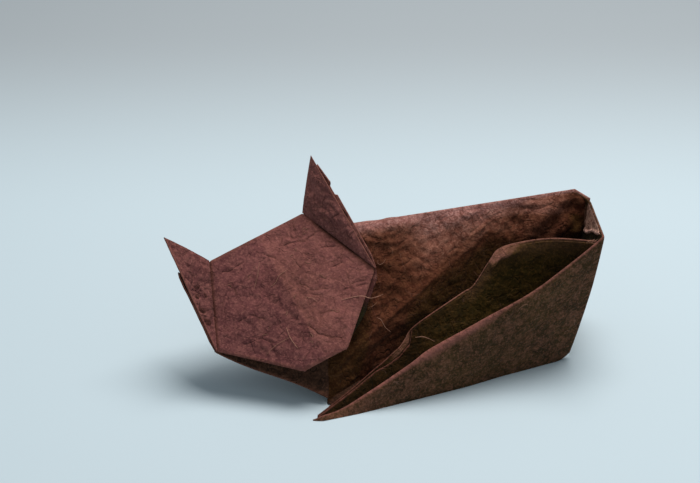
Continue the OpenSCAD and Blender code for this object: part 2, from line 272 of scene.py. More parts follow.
# Straight runs through the corners, each inner corner rounded by a parabola of its own radius
def foldedLine(corners, radii, runs, arc):
    parts, start = [], corners[0]
    for k in range(1, len(corners) - 1):
        a, b, c = corners[k - 1:k + 2]
        one, two = np.linalg.norm(a - b, axis=-1), np.linalg.norm(c - b, axis=-1)
        r = np.minimum(radii[k - 1], 0.45 * np.minimum(one, two))
        before, after = b + (a - b) * (r / one)[:, None], b + (c - b) * (r / two)[:, None]
        s = np.linspace(0, 1, runs[k - 1], endpoint=False)[None, :, None]
        parts.append(start[:, None] + (before - start)[:, None] * s)
        s = np.linspace(0, 1, arc, endpoint=False)[None, :, None]
        parts.append(before[:, None] * (1 - s) ** 2 + 2 * b[:, None] * s * (1 - s) + after[:, None] * s ** 2)
        start = after
    s = np.linspace(0, 1, runs[-1] + 1)[None, :, None]
    parts.append(start[:, None] + (corners[-1] - start)[:, None] * s)
    return np.concatenate(parts, 1)


# Closed shell round a grid: a skin on each side, and a rounded rim that stands out past the border
def sheetShell(grid, front, back, rim):
    n, m = grid.shape[:2]
    square = squareTo(grid)
    ids = np.arange(n * m).reshape(n, m)
    i = np.concatenate([np.arange(n - 1), np.full(m - 1, n - 1),
                        np.arange(n - 1, 0, -1), np.zeros(m - 1, int)])
    j = np.concatenate([np.zeros(n - 1, int), np.arange(m - 1),
                        np.full(n - 1, m - 1), np.arange(m - 1, 0, -1)])
    out = unit(grid[i, j] - grid[np.clip(i, 1, n - 2), np.clip(j, 1, m - 2)])
    centre = grid[i, j] + square[i, j] * (0.5 * (front + back)) + out * rim
    skins = [(grid + square * away).reshape(-1, 3) for away in (front, back)]
    quad = np.stack([ids[:-1, :-1], ids[1:, :-1], ids[1:, 1:], ids[:-1, 1:]], -1).reshape(-1, 4)
    loop, count = ids[i, j], n * m
    after, mid = np.roll(loop, -1), 2 * count + np.arange(len(loop))
    midAfter = np.roll(mid, -1)
    faces = np.concatenate([
        quad, quad[:, ::-1] + count,
        np.stack([after, loop, mid, midAfter], -1),
        np.stack([midAfter, mid, loop + count, after + count], -1)])
    return np.concatenate(skins + [centre]), faces, (i, j)


# Numbers of a tube's points, ring by ring, their neighbours round the ring, and the faces between rings
def tubeFaces(n, m):
    ids = np.arange(n * m).reshape(n, m)
    after = np.roll(ids, -1, 1)
    return ids, after, np.stack([ids[:-1], after[:-1], after[1:], ids[1:]], -1).reshape(-1, 4)


# Marks on a grid (wear with painted highlight, painted crease shade and painted shade), copied to both skins
# and to the rim of its shell
def onShell(marks, border):
    marks = np.stack(np.broadcast_arrays(*marks), -1)
    flat = marks.reshape(-1, 3)
    return np.concatenate([flat, flat, marks[border]])


# One object from points and faces, with its marks kept as an attribute
def makePiece(name, points, faces, marks, material):
    mesh = bpy.data.meshes.new(name)
    faces = faces if isinstance(faces, list) else faces.tolist()
    mesh.from_pydata(((points - middle) * mm).tolist(), [], faces)
    mesh.update()
    layer = mesh.attributes.new("marks", "FLOAT_VECTOR", "POINT")
    layer.data.foreach_set("vector", np.asarray(marks, np.float32).reshape(-1))
    mesh.polygons.foreach_set("use_smooth", np.ones(len(mesh.polygons), bool))
    mesh.set_sharp_from_angle(angle=math.radians(50))
    mesh.materials.append(material)
    piece = bpy.data.objects.new(name, mesh)
    scene.collection.objects.link(piece)
    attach(piece, "root")
    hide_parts("paper_cat")
    print(name, len(mesh.vertices), "points")


# One sheet as a piece: its shell, kept above the table, and its marks
def makeSheet(name, grid, part, marks, material):
    points, faces, border = sheetShell(grid, part["thick"] / 2, -part["thick"] / 2, part["rim"])
    points[:, 2] = np.maximum(points[:, 2], 0)
    makePiece(name, points, faces, onShell(marks, border), material)


# Several shells as one mesh
def joined(shells):
    points, faces, marks, at = [], [], [], 0
    for p, f, w in shells:
        points.append(p)
        faces.append(f + at)
        marks.append(w)
        at += len(p)
    return np.concatenate(points), np.concatenate(faces), np.concatenate(marks)


# Colour written as 0 to 255, turned to linear light
def tone(r, g, b):
    v = np.array([r, g, b]) / 255
    return tuple(np.where(v <= 0.04045, v / 12.92, ((v + 0.055) / 1.055) ** 2.4)) + (1.0,)


# Scales of the paper's noises. Fibres also have a width, the facets' painted light and shade and the planes a
# strength. Wrinkles have a width, then the scale, start and end of the patches they are kept to, and a
# strength
dye = dict(
    cloud=120, grain=1900, flecks=640, grainMost=0.6, flecksMost=0.36,
    fibres=((150, 0.0035), (230, 0.005), (95, 0.0024)),
    wrinkles=((260, 0.034, 420, 0.45, 0.60, 0.8), (150, 0.022, 240, 0.44, 0.62, 1.0),
              (760, 0.06, 240, 0.44, 0.62, 0.4)),
    facetShading=((480, 0.26), (1050, 0.24)), planes=((330, 0.9), (760, 0.45)),
    # wrinklesDark is the strength of the painted shade in the wrinkle lines
    wrinklesDark=0.42, wrinklesDeep=0.6, fibresHigh=0.2, rough=(0.72, 0.95),
)


# Shared paper finish: cloudy dye, painted shade in creases, wrinkles and facets, worn folds with painted
# highlights, painted shade and pale fibres
def paperGroup():
    group = bpy.data.node_groups.new("kneadedPaper", "ShaderNodeTree")
    sockets = (("INPUT", "NodeSocketColor", ("Base", "Deep", "Pale", "Fibre", "WearAndHighlightColour", "Dark", "Under")),
               ("INPUT", "NodeSocketFloat", ("WearAndHighlight", "Creased", "Shaded", "Fibres")),
               ("OUTPUT", "NodeSocketColor", ("Color",)),
               ("OUTPUT", "NodeSocketFloat", ("Roughness", "Height")))
    for way, kind, names in sockets:
        for name in names:
            group.interface.new_socket(name, in_out=way, socket_type=kind)
    nodes, links = group.nodes, group.links
    given, result = nodes.new("NodeGroupInput").outputs, nodes.new("NodeGroupOutput").inputs
    place = nodes.new("ShaderNodeTexCoord").outputs["Object"]

    # A socket gets a plain number as its value, or a link from another node
    def feed(socket, value):
        if isinstance(value, (int, float)):
            socket.default_value = value
        else:
            links.new(value, socket)

    def noise(scale, detail, rough, vector=place, output="Fac"):
        node = nodes.new("ShaderNodeTexNoise")
        for name, value in (("Scale", scale), ("Detail", detail), ("Roughness", rough), ("Vector", vector)):
            feed(node.inputs[name], value)
        return node.outputs[output]

    # Smooth step of a value from low to high, between two results
    def band(value, low, high, first=0.0, last=1.0):
        node = nodes.new("ShaderNodeMapRange")
        node.interpolation_type = "SMOOTHSTEP"
        for name, number in (("Value", value), ("From Min", low), ("From Max", high),
                             ("To Min", first), ("To Max", last)):
            feed(node.inputs[name], number)
        return node.outputs["Result"]

    def sums(kind, a, b=0.0):
        node = nodes.new("ShaderNodeMath")
        node.operation = kind
        feed(node.inputs[0], a)
        feed(node.inputs[1], b)
        return node.outputs[0]

    def most(values):
        top = values[0]
        for value in values[1:]:
            top = sums("MAXIMUM", top, value)
        return top

    def blend(share, a, b, kind="MIX"):
        node = nodes.new("ShaderNodeMix")
        node.data_type, node.blend_type = "RGBA", kind
        for k, value in ((0, share), (6, a), (7, b)):
            feed(node.inputs[k], value)
        return node.outputs[2]

    # Object coordinates pushed about by a noise
    def shifted(amount, scale):
        bend, add = nodes.new("ShaderNodeVectorMath"), nodes.new("ShaderNodeVectorMath")
        bend.operation = "SCALE"
        bend.inputs["Scale"].default_value = amount
        links.new(noise(scale, 2, 0.5, output="Color"), bend.inputs[0])
        links.new(place, add.inputs[0])
        links.new(bend.outputs[0], add.inputs[1])
        return add.outputs[0]

    # Thin lines where a noise passes its middle value
    def lines(value, wide):
        return band(sums("ABSOLUTE", sums("SUBTRACT", value, 0.5)), 0.0, wide, 1.0, 0.0)

    # Cells with bent borders: a random shade in each, or the distance to its middle
    def cells(size, push, coarse, output, distance="EUCLIDEAN"):
        node = nodes.new("ShaderNodeTexVoronoi")
        node.distance = distance
        node.inputs["Scale"].default_value = size
        links.new(shifted(push, size * coarse), node.inputs["Vector"])
        return node.outputs[output]

    # Colour made paler where a value is high and deeper where it is low
    def tinted(colour, value, pale, deep, share):
        colour = blend(band(value, *pale, 0.0, share), colour, given["Pale"])
        return blend(band(value, *deep, 0.0, share), colour, given["Deep"])

    # Colour times a given one raised to a power
    def darkened(colour, name, power):
        split, merge = nodes.new("ShaderNodeSeparateXYZ"), nodes.new("ShaderNodeCombineXYZ")
        links.new(given[name], split.inputs[0])
        for k in range(3):
            links.new(sums("POWER", split.outputs[k], power), merge.inputs[k])
        return blend(1.0, colour, merge.outputs[0], "MULTIPLY")

    # Fibres and fine wrinkles are thin lines of several sizes, kept only in places
    threads = []
    for size, wide in dye["fibres"]:
        line = lines(noise(size, 0.6, 0.4, shifted(0.004, size * 0.6)), wide)
        threads.append(sums("MULTIPLY", line, band(noise(size * 2.1, 1, 0.5), 0.54, 0.62)))
    fibres = sums("MULTIPLY", most(threads), given["Fibres"])
    nets = []
    for size, wide, patches, low, high, share in dye["wrinkles"]:
        net = lines(noise(size, 2, 0.6, shifted(0.0009, size * 1.3)), wide)
        nets.append(sums("MULTIPLY", net, band(noise(patches, 2, 0.5), low, high, 0.0, share)))
    wrinkles = most(nets)

    # Dye: clouds, flecks and grain, and painted light and shade on the small facets of the crumpled sheet,
    # each facet a little lighter or darker
    cloud = band(noise(dye["cloud"], 3, 0.5), 0.30, 0.72)
    grain = noise(dye["grain"], 3, 0.7)
    flecks = noise(dye["flecks"], 4, 0.7, shifted(0.0008, 900))
    colour = blend(cloud, given["Deep"], given["Base"])
    colour = tinted(colour, flecks, (0.50, 0.70), (0.48, 0.30), dye["flecksMost"])
    for size, share in dye["facetShading"]:
        colour = tinted(colour, cells(size, 0.0006, 1.4, "Color"), (0.5, 0.85), (0.5, 0.15), share)
    colour = tinted(colour, grain, (0.50, 0.66), (0.50, 0.34), dye["grainMost"])

    # Painted shade along the creases and wrinkle lines, then worn folds and painted highlights
    uneven = band(noise(900, 3, 0.6), 0.32, 0.62)
    creaseShade = sums("MULTIPLY", given["Creased"], uneven)
    creaseShade = most([creaseShade, sums("MULTIPLY", wrinkles, dye["wrinklesDark"])])
    colour = blend(creaseShade, colour, given["Dark"], "MULTIPLY")
    wearAndLightShare = band(noise(1100, 3, 0.6), 0.25, 0.65, 0.45, 1.0)
    colour = blend(sums("MULTIPLY", given["WearAndHighlight"], wearAndLightShare), colour, given["WearAndHighlightColour"])

    # Shaded parts: a dark colour to the power of the shade up to one, and a second one for what is past one
    colour = darkened(colour, "Dark", sums("MINIMUM", given["Shaded"], 1.0))
    colour = darkened(colour, "Under", sums("MAXIMUM", sums("SUBTRACT", given["Shaded"], 1.0), 0.0))
    links.new(blend(fibres, colour, given["Fibre"]), result["Color"])
    links.new(band(grain, 0.2, 0.8, *dye["rough"]), result["Roughness"])

    # Relief: grain and flecks, wrinkles pressed in, fibres raised, and flat planes that meet in sharp ridges,
    # from distances measured along the axes
    height = sums("ADD", sums("MULTIPLY", grain, 0.5), flecks)
    height = sums("SUBTRACT", height, sums("MULTIPLY", wrinkles, dye["wrinklesDeep"]))
    for size, share in dye["planes"]:
        plane = cells(size, 0.0012, 0.8, "Distance", "MANHATTAN")
        height = sums("ADD", height, sums("MULTIPLY", plane, share))
    links.new(sums("ADD", height, sums("MULTIPLY", fibres, dye["fibresHigh"])), result["Height"])
    return group


kneaded = paperGroup()


# One dyed stretch of the sheet; its colours are written as 0 to 255
def paperFinish(name, base, deep, pale, edge, dark=(120, 116, 104), under=(160, 244, 150),
                creaseShadeStrength=0.8, fibres=0.4, wearAndHighlightStrength=0.5, bump=0.0003):
    material = bpy.data.materials.new(name)
    material.use_nodes = True
    nodes, links = material.node_tree.nodes, material.node_tree.links
    shader = nodes["Principled BSDF"]
    shader.inputs["Specular IOR Level"].default_value = 0.08
    shader.inputs["Sheen Weight"].default_value = 0.02
    paper = nodes.new("ShaderNodeGroup")
    paper.node_tree = kneaded
    for socket, value in (("Base", base), ("Deep", deep), ("Pale", pale), ("WearAndHighlightColour", edge),
                          ("Fibre", (150, 108, 92)), ("Dark", dark), ("Under", under)):
        paper.inputs[socket].default_value = tone(*value)
    paper.inputs["Fibres"].default_value = fibres
    marks = nodes.new("ShaderNodeAttribute")
    marks.attribute_name = "marks"
    parts = nodes.new("ShaderNodeSeparateXYZ")
    links.new(marks.outputs["Vector"], parts.inputs[0])
    for k, (socket, amount) in enumerate((("WearAndHighlight", wearAndHighlightStrength), ("Creased", creaseShadeStrength), ("Shaded", 1.0))):
        share = nodes.new("ShaderNodeMath")
        share.operation = "MULTIPLY"
        links.new(parts.outputs[k], share.inputs[0])
        share.inputs[1].default_value = amount
        links.new(share.outputs[0], paper.inputs[socket])
    raised = nodes.new("ShaderNodeBump")
    raised.inputs["Strength"].default_value = 1.0
    raised.inputs["Distance"].default_value = bump
    links.new(paper.outputs["Height"], raised.inputs["Height"])
    links.new(paper.outputs["Color"], shader.inputs["Base Color"])
    links.new(paper.outputs["Roughness"], shader.inputs["Roughness"])
    links.new(raised.outputs["Normal"], shader.inputs["Normal"])
    return material


facePaper = paperFinish("facePaper", (129, 77, 76), (99, 57, 58), (159, 103, 96), (136, 87, 70), bump=0.00019)
earPaper = paperFinish("earPaper", (130, 78, 75), (99, 58, 58), (159, 104, 96), (156, 102, 86), bump=0.00024)
# Slope paper: its dark and under colours tint the painted shade down the slope and on the steep side
slopePaper = paperFinish("slopePaper", (165, 111, 104), (125, 79, 71), (199, 150, 142), (178, 124, 108),
                         dark=(144, 121, 90), under=(160, 255, 118), creaseShadeStrength=1.0)
# Outer wall paper: its worn colour is also the painted highlight on the top fold
wallPaper = paperFinish("wallPaper", (82, 60, 33), (53, 39, 20), (136, 90, 71), (160, 100, 92),
                        creaseShadeStrength=1.0, fibres=0.45, wearAndHighlightStrength=0.85)
# Pale paper for the rear turn's inner layer: painted light, where light shows through the sheet
litTurnPaper = paperFinish("litTurnPaper", (186, 132, 112), (116, 76, 62), (246, 198, 172), (228, 180, 164),
                        dark=(80, 74, 50), wearAndHighlightStrength=0.9)
# Inner wall paper: darker than the outer wall, as painted shade of the pocket
flapPaper = paperFinish("flapPaper", (63, 48, 15), (42, 33, 9), (92, 65, 30), (164, 108, 93),
                        dark=(128, 106, 108), fibres=0.25, wearAndHighlightStrength=0.85)
chestPaper = paperFinish("chestPaper", (86, 58, 44), (55, 37, 28), (114, 78, 60), (126, 78, 62))
strandPaper = paperFinish("strandPaper", (112, 82, 60), (98, 70, 52), (124, 92, 70), (206, 152, 130),
                          fibres=0.0, wearAndHighlightStrength=1.0, bump=0.00002)
print("paper finishes made")

# Face: one folded plate, front and back layers joined round its rim. Each wrinkle is a line of points with
# its width, depth and darkness, the darkness being painted shade in the wrinkle
face = dict(
    rows=180, columns=210, front=0.3, back=-0.95, rim=0.35, inset=0.3, lump=0.11, lumpCell=2.6,
    sway=0.4, swayCell=1.5, creases=((46, 0.75, 5.0, 12), (520, 0.55, 1.8, 13)),
    wrinkles=[
        ([(-11.2, -4.0), (-8.2, -4.6), (-4.7, -4.1)], 0.33, 0.28, 0.9),
        ([(3.2, -4.6), (9.1, -6.5), (13.6, -5.7)], 0.30, 0.22, 0.9),
        ([(11.0, -9.8), (15.4, -11.1)], 0.30, 0.26, 0.9),
        ([(10.5, -20.9), (16.8, -22.5)], 0.30, 0.24, 0.9),
        ([(12.6, -20.6), (17.2, -21.3)], 0.27, 0.20, 0.9),
        ([(-0.1, -23.8), (1.3, -27.7), (6.4, -31.6)], 0.39, 0.34, 0.9),
        ([(-5.1, -12.8), (-4.0, -15.8), (-1.9, -20.4), (-0.9, -22.8)], 0.90, 0.40, 0.2),
        ([(4.7, -9.5), (5.1, -11.7), (6.6, -11.2)], 0.27, 0.20, 0.9),
        ([(-10.4, -7.4), (-9.9, -10.4)], 0.33, 0.14, 0.9),
        ([(3.3, -15.0), (4.9, -17.8), (8.6, -19.3)], 0.30, 0.18, 0.9),
        ([(-13.5, -16.3), (-10.0, -16.4), (-6.6, -19.4)], 0.33, 0.16, 0.9),
        ([(1.9, -8.0), (0.6, -5.7), (-2.5, -2.8)], 0.30, 0.18, 0.9),
        ([(11.1, -14.7), (14.7, -15.1)], 0.27, 0.18, 0.9),
        ([(3.4, -23.3), (7.3, -24.5)], 0.30, 0.16, 0.9),
        ([(-14.8, -20.9), (-10.1, -22.2), (-7.2, -25.3)], 0.33, 0.18, 0.9)],
)

# Face height: low ridge, lumps, creases and pressed wrinkles, all fading towards the folded rim
t, c = gridOf(face["rows"], face["columns"], v=(-1, 1))
y = -face["inset"] - t * (cat["faceHigh"] - 2 * face["inset"])
half = np.interp(-y, [0, cat["cheekDrop"], cat["faceHigh"]],
                 [cat["faceTop"] / 2, cat["faceCheek"] / 2, cat["faceChin"] / 2]) - face["inset"]
x = c * half
rim = np.minimum(-y - face["inset"], cat["faceHigh"] - face["inset"] + y)
rim = np.minimum(half * (1 - np.abs(c)), rim)
flat = np.stack([x, y, 0 * x], -1)
h, dark = crushed(x, y, face["creases"])
h = h + lumps(flat, face["lump"], face["lumpCell"], 11)
bentX = x + face["sway"] * paperNoise(flat, face["swayCell"], 14)
bentY = y + face["sway"] * paperNoise(flat, face["swayCell"], 15)
for line, wide, deep, darkness in face["wrinkles"]:
    mark = pressed(bentX, bentY, line, wide)
    h, dark = h - deep * mark, np.maximum(dark, darkness * mark)
h = (h - h.mean()) * ease(-0.3, 2.2, rim) - 0.25 * np.clip(1 - rim / 0.7, 0, 1) ** 2
faceX, faceY, faceH = x, y, h
grid = onHead(flat + upward(faceRise(x, y) + h))
points, faces, border = sheetShell(grid, face["front"], face["back"], face["rim"])

# Face marks: painted shade on the left half and painted shadows along the feet of both ears; a worn rim, and
# painted light that lightens the right half
earRun = np.array([cat["faceCheek"] - cat["faceTop"], -2 * cat["cheekDrop"]]) / (2 * earLong)
toNear = -earRun[1] * (cat["faceTop"] / 2 - x) - earRun[0] * y
toFar = -earRun[1] * (x + cat["faceTop"] / 2) - earRun[0] * y
midway = ease(-4, -12, y) * ease(-31, -24, y)
leftHalf = ease(0.5, -0.5, x) * (0.07 + 0.13 * midway * np.exp(-np.abs(x) / 3.5))
rightHalf = ease(-0.5, 0.8, x) * (0.5 + 0.4 * midway * np.exp(-np.abs(x) / 4))
underNear = (0.8 * bell(toNear, 0.4, 0.38) + 0.22 * bell(toNear, 0.4, 1.0)) * ease(-0.5, -6, y)
underFar = 0.35 * bell(toFar, 0.2, 0.4) * (y > -cat["cheekDrop"])
shade = np.clip(leftHalf + underNear + underFar, 0, 1)
wearAndHighlight = np.maximum(np.clip(1 - rim / 0.9, 0, 1), rightHalf)
makePiece("face", points, faces, onShell([wearAndHighlight, dark, shade], border), facePaper)

# Layer folded behind the face, which shows as a strip along the near lower edge
backLayer = dict(along=70, across=12, end=0.86, hidden=3, shows=0.95, wave=0.12, waveCell=2.0,
                 behind=0.85, thick=0.32, rim=0.06)
t, f = gridOf(backLayer["along"], backLayer["across"], (0, backLayer["end"]))
edgeLine = mix([cat["faceCheek"] / 2, -cat["cheekDrop"], 0], [cat["faceChin"] / 2, -cat["faceHigh"], 0], t)
outward = unit(np.array([cat["faceHigh"] - cat["cheekDrop"], -(cat["faceCheek"] - cat["faceChin"]) / 2, 0]))
shown = backLayer["shows"] * ease(backLayer["end"], 0.5, t) * ease(-0.05, 0.12, t)
shown = shown + backLayer["wave"] * paperNoise(edgeLine, backLayer["waveCell"], 21)
flat = edgeLine + outward * ((backLayer["hidden"] + shown) * f - backLayer["hidden"])[..., None]
grid = onHead(flat + upward(faceRise(flat[..., 0], flat[..., 1]) - backLayer["behind"]))
# Painted shade: the strip darkens towards the chin, where it lies in shadow under the face
marks = [0.3 * ease(0.95, 1, f), 0, 0.5 + 1.4 * ease(0.3, 0.55, t)]
makeSheet("backLayer", grid[:, ::-1], backLayer, marks, facePaper)

# Ears: a front layer and a second one behind it that shows along the outer edge
ear = dict(
    rows=110, columns=80, thick=0.34, rim=0.12, lump=0.07, lumpCell=2.8, bow=0.25, apart=0.32,
    nearStops=(0.08, 0.255, 0.262, 0.355, 0.362, 0.9, 1), nearShow=(0, 0.62, 0.03, 0.03, 0.6, 0.6, 0),
    farStops=(0.30, 0.34, 0.9, 1), farShow=(0, 0.34, 0.3, 0),
    creases=((20, 0.8, 3.5), (280, 0.85, 1.4)),
)


# Ear: rows run from its fold to the line between its tip and the cheek; the second layer opens at an angle
def earShell(side, reach, fold, second, seed):
    near = side > 0
    stops, show = (ear["nearStops"], ear["nearShow"]) if near else (ear["farStops"], ear["farShow"])
    first = stops[0] if second else 0.0
    t, b = gridOf(ear["rows"], ear["columns"], (first, 0.996))
    base = np.stack([t * earLong, 0 * t, 0 * t], -1)
    outer = mix([-reach, cat["earHigh"], 0], [earLong, 0, 0], t)
    if second:
        away = unit(np.array([cat["earHigh"], earLong + reach, 0]))
        outer = outer + away * np.interp(t, stops, show)[..., None]
    p = base + (outer - base) * b[..., None]
    edge = np.minimum(np.linalg.norm(outer - base, axis=-1) * np.minimum(b, 1 - b), (t - first) * earLong)
    h, dark = crushed(p[..., 0], p[..., 1], [row + (seed + k,) for k, row in enumerate(ear["creases"])])
    h = (h + lumps(p + seed, ear["lump"], ear["lumpCell"], seed)) * ease(-0.2, 1.6, edge)
    lift = ear["bow"] * np.sin(math.pi * b) * (1 - t) + h - (ear["apart"] if second else 0.0)
    p = turnX(p + upward(lift), fold - (cat["layerSpread"] if second else 0))
    p = turnZ(p, earTurn) + (cat["faceTop"] / 2, 0, 0)
    p = onHead(p if near else p * (-1, 1, 1))
    if near:
        p, edge, b, dark = p[::-1], edge[::-1], b[::-1], dark[::-1]
    points, faces, border = sheetShell(p, -ear["thick"] / 2, ear["thick"] / 2, ear["rim"])
    # Painted light lightens the near ear, its second layer most; painted shade darkens the far ear, its
    # second layer most
    wearAndLightShare = (0.8 if second else 0.3) if near else 0
    shade = 0 if near else (0.5 if second else 0.05)
    wearAndHighlight = np.clip(np.clip(1 - edge / 0.5, 0, 1) * (b > 0.5) + wearAndLightShare, 0, 1)
    return points, faces[:, ::-1], onShell([wearAndHighlight, dark, shade], border)


for name, side, reach, fold, seed in (("earNear", 1, cat["nearReach"], cat["nearFold"], 31),
                                      ("earFar", -1, cat["farReach"], cat["farFold"], 47)):
    layers = [earShell(side, reach, fold, False, seed), earShell(side, reach, fold, True, seed + 9)]
    makePiece(name, *joined(layers), earPaper)

# Chest: the panel that hangs from the back of the head down to the foot of the body
chest = dict(rows=90, columns=70, thick=0.5, rim=0.2, start=(-0.4, 0.2, 0.25), sag=0.4, wide=36, high=24,
             lump=0.12, lumpCell=3.5, creases=((24, 0.5, 4.0, 61), (90, 0.2, 1.8, 62)))
s, f = gridOf(chest["rows"], chest["columns"])
rimPoint = cheek + unit(neck - cheek)
low = mix(cheek + chest["start"], footTop, s) - upward(chest["sag"] * np.sin(2 * math.pi * s))
grid = low + (mix(rimPoint, neck, s) - low) * f[..., None]
h, dark = crushed(s * chest["wide"], f * chest["high"], chest["creases"])
h = h + lumps(grid, chest["lump"], chest["lumpCell"], 63)
grid = grid + squareTo(grid) * (h * np.sin(math.pi * s) * ease(0, 0.12, f))[..., None]
wearAndHighlight = np.maximum(0.2 * ease(0.97, 1, s), ease(0.03, 0, f))
makeSheet("chest", grid, chest, [wearAndHighlight, dark, 0], chestPaper)

# Body: the sheet over the back fold, down the near slope to its crease and down the steep side
body = dict(
    along=220, wrap=1.3, wrapOut=0.35, lift=0.3, runs=(5, 100, 74), arc=14, thick=0.46, rim=0.1,
    ridgeRound=0.75, bendStops=(0, 0.45, 0.62, 0.8, 1), bends=(0.5, 0.5, 1.6, 5.0, 5.0),
    creaseShares=(0.08, 0.72, 0.61, 0.94), belly=1.2, rearShare=0.3,
    lump=0.14, lumpCell=3.6, pleat=0.5, creases=((80, 2.8, 5.5, 71), (600, 1.4, 1.9, 72)),
    shadeStops=(0.05, 0.25, 0.4, 0.6, 0.8, 0.95), shades=(0, 0.13, 0.34, 0.40, 0.58, 0.9),
)


# Crease: a straight line from the chest's fold towards the back, then a belly that runs on to the rear corner
def creaseLine(s):
    start, end, leave, high = body["creaseShares"]
    first = mix(footTop, neck, start)
    last = backLine(end) - (0, 0, 1)
    straight = mix(first, last, np.minimum(s, leave) / end)
    straight = mix(backLine(np.minimum(s, leave)), straight, high + 0 * s)
    t = np.clip((s - leave) / (1 - leave), 0, 1)
    rear = mix(straight, mix(corner, nearRear, body["rearShare"]), t)
    return rear + np.stack([0 * t, -body["belly"] * np.sin(math.pi * t), 0 * t], -1)


s = np.linspace(0, 1, body["along"])
ridge, crease, table = backLine(s), creaseLine(s), nearFoot(s)
drop = unit(mix(farFront, farRear, s) - ridge)
ridge = ridge + (0, 0, body["lift"])
farEdge = ridge + drop * body["wrap"] + (0, body["wrapOut"], 0)
bend = np.interp(s, body["bendStops"], body["bends"])
grid = foldedLine([farEdge, ridge, crease, table], [np.full(len(s), body["ridgeRound"]), bend],
                  body["runs"], body["arc"])
m = grid.shape[1]
ss = s[:, None] + np.zeros(m)
fromRidge = np.linalg.norm(grid - ridge[:, None], axis=-1)
fromCrease = np.linalg.norm(grid - crease[:, None], axis=-1)
steps = np.arange(m) - body["runs"][0] - body["arc"]
onSlope = np.clip(steps, 0, body["runs"][1]) / body["runs"][1] + 0 * ss
steep = ease(0.2, 1.0, (steps - body["runs"][1]) / body["arc"]) + 0 * ss
calm = ease(0.2, 2.4, fromRidge) * (1 - 0.75 * bell(fromCrease, 0, 1.1) * (1 - ease(0.5, 0.7, ss)))
calm = calm * ease(0, 0.04, ss) * ease(1, 0.97, ss) * ease(0.3, 2.5, grid[..., 2])
down = np.cumsum(np.linalg.norm(np.diff(grid, axis=1, prepend=grid[:, :1]), axis=-1), 1)
h, dark = crushed(cat["backLong"] * ss, down, body["creases"])
h = (h + lumps(grid, body["lump"], body["lumpCell"], 73)) * (1 - 0.45 * steep)

# Pleat: a step in the slope behind the head, along a line that runs down and back
pastPleat = onSlope - (0.14 + (ss - 0.128) * 0.9)
step = ease(0.045, -0.005, pastPleat) * ease(0.31, 0.2, ss) * ease(0.3, 1.0, fromRidge)
h = h * calm + body["pleat"] * step
grid = grid - squareTo(grid) * h[..., None]
grid = grid - upward(0.3 * bell(ss, 0.2, 0.03) * bell(fromRidge, 0, 3.0))
grid[:, -1, 2] = 0.0

# Body marks: painted highlights along the ridge and the crease; painted shade grows down the slope, on the
# steep side, at the rear, at the front, in the gap behind the face and under the pleat, with a painted shade
# line at the pleat
wearAndHighlight = 0.7 * np.clip(1 - fromCrease / 0.5, 0, 1) * ease(0.6, 0.5, ss) * ease(0.22, 0.3, ss)
wearAndHighlight = np.maximum(0.25 * np.clip(1 - fromRidge / 0.9, 0, 1), wearAndHighlight)
shade = np.interp(onSlope, body["shadeStops"], body["shades"]) * (1 - 0.5 * bell(ss, 0.6, 0.1))
deepen = steep * (0.55 * ease(0, 0.8, fromCrease) + 0.45 * ease(0, 6, fromCrease))
shade = shade + (0.62 + 0.68 * ease(0.2, 0.36, ss) - shade) * deepen
rear = ease(0.7, 0.8, ss) * (0.3 * ease(0.5, 0.1, onSlope) + 0.2 * ease(0.8, 0.45, onSlope) - 0.2)
rear = rear + 0.18 * ease(0.8, 0.92, ss) + 0.4 * ease(0.89, 0.95, ss)
front = 0.68 * ease(0.4, 0.22, ss) * ease(0.02, 0.17, onSlope)
front = np.minimum(front, np.maximum(1.0 - shade, 0))
gap = 1.2 * ease(0.27, 0.13, ss) * ease(0.4, 0.7, onSlope)
fold = ease(0.31, 0.22, ss) * ease(0.3, 1.0, fromRidge)
under = 0.7 * fold * ease(-0.01, 0.03, pastPleat)
dark = np.maximum(dark, fold * bell(pastPleat, 0.008, 0.012))
shade = np.maximum.reduce([shade + rear + front, gap, under]) * ease(0.4, 1.2, fromRidge)
makeSheet("body", grid[:, ::-1], body, [k[:, ::-1] for k in (wearAndHighlight, dark, shade)], slopePaper)

# Underfold: the hem that lies on the table between the body's near foot and the tail, close to its tip
underfold = dict(along=40, across=12, end=0.24, reach=1.1, tailShares=(0.06, 0.9), lift=0.4, rise=0.6,
                 lump=0.1, lumpCell=3.0, thick=0.3, rim=0.06)
t, f = gridOf(underfold["along"], underfold["across"], (0, underfold["end"]), (0, underfold["reach"]))
first, share = underfold["tailShares"]
grid = mix(nearFoot(t), flapFoot(first + share * t), f) + (0, 0, underfold["lift"])
rise = underfold["rise"] * (1 - f) + lumps(grid, underfold["lump"], underfold["lumpCell"], 81)
grid = grid + upward(rise * ease(0, 0.05, t))
# Painted shade keeps the hem dark, as the gap it fills lies in shadow
makeSheet("underfold", grid[:, ::-1], underfold, [0.3 * ease(0.1, 0, t), 0, 0.17], chestPaper)

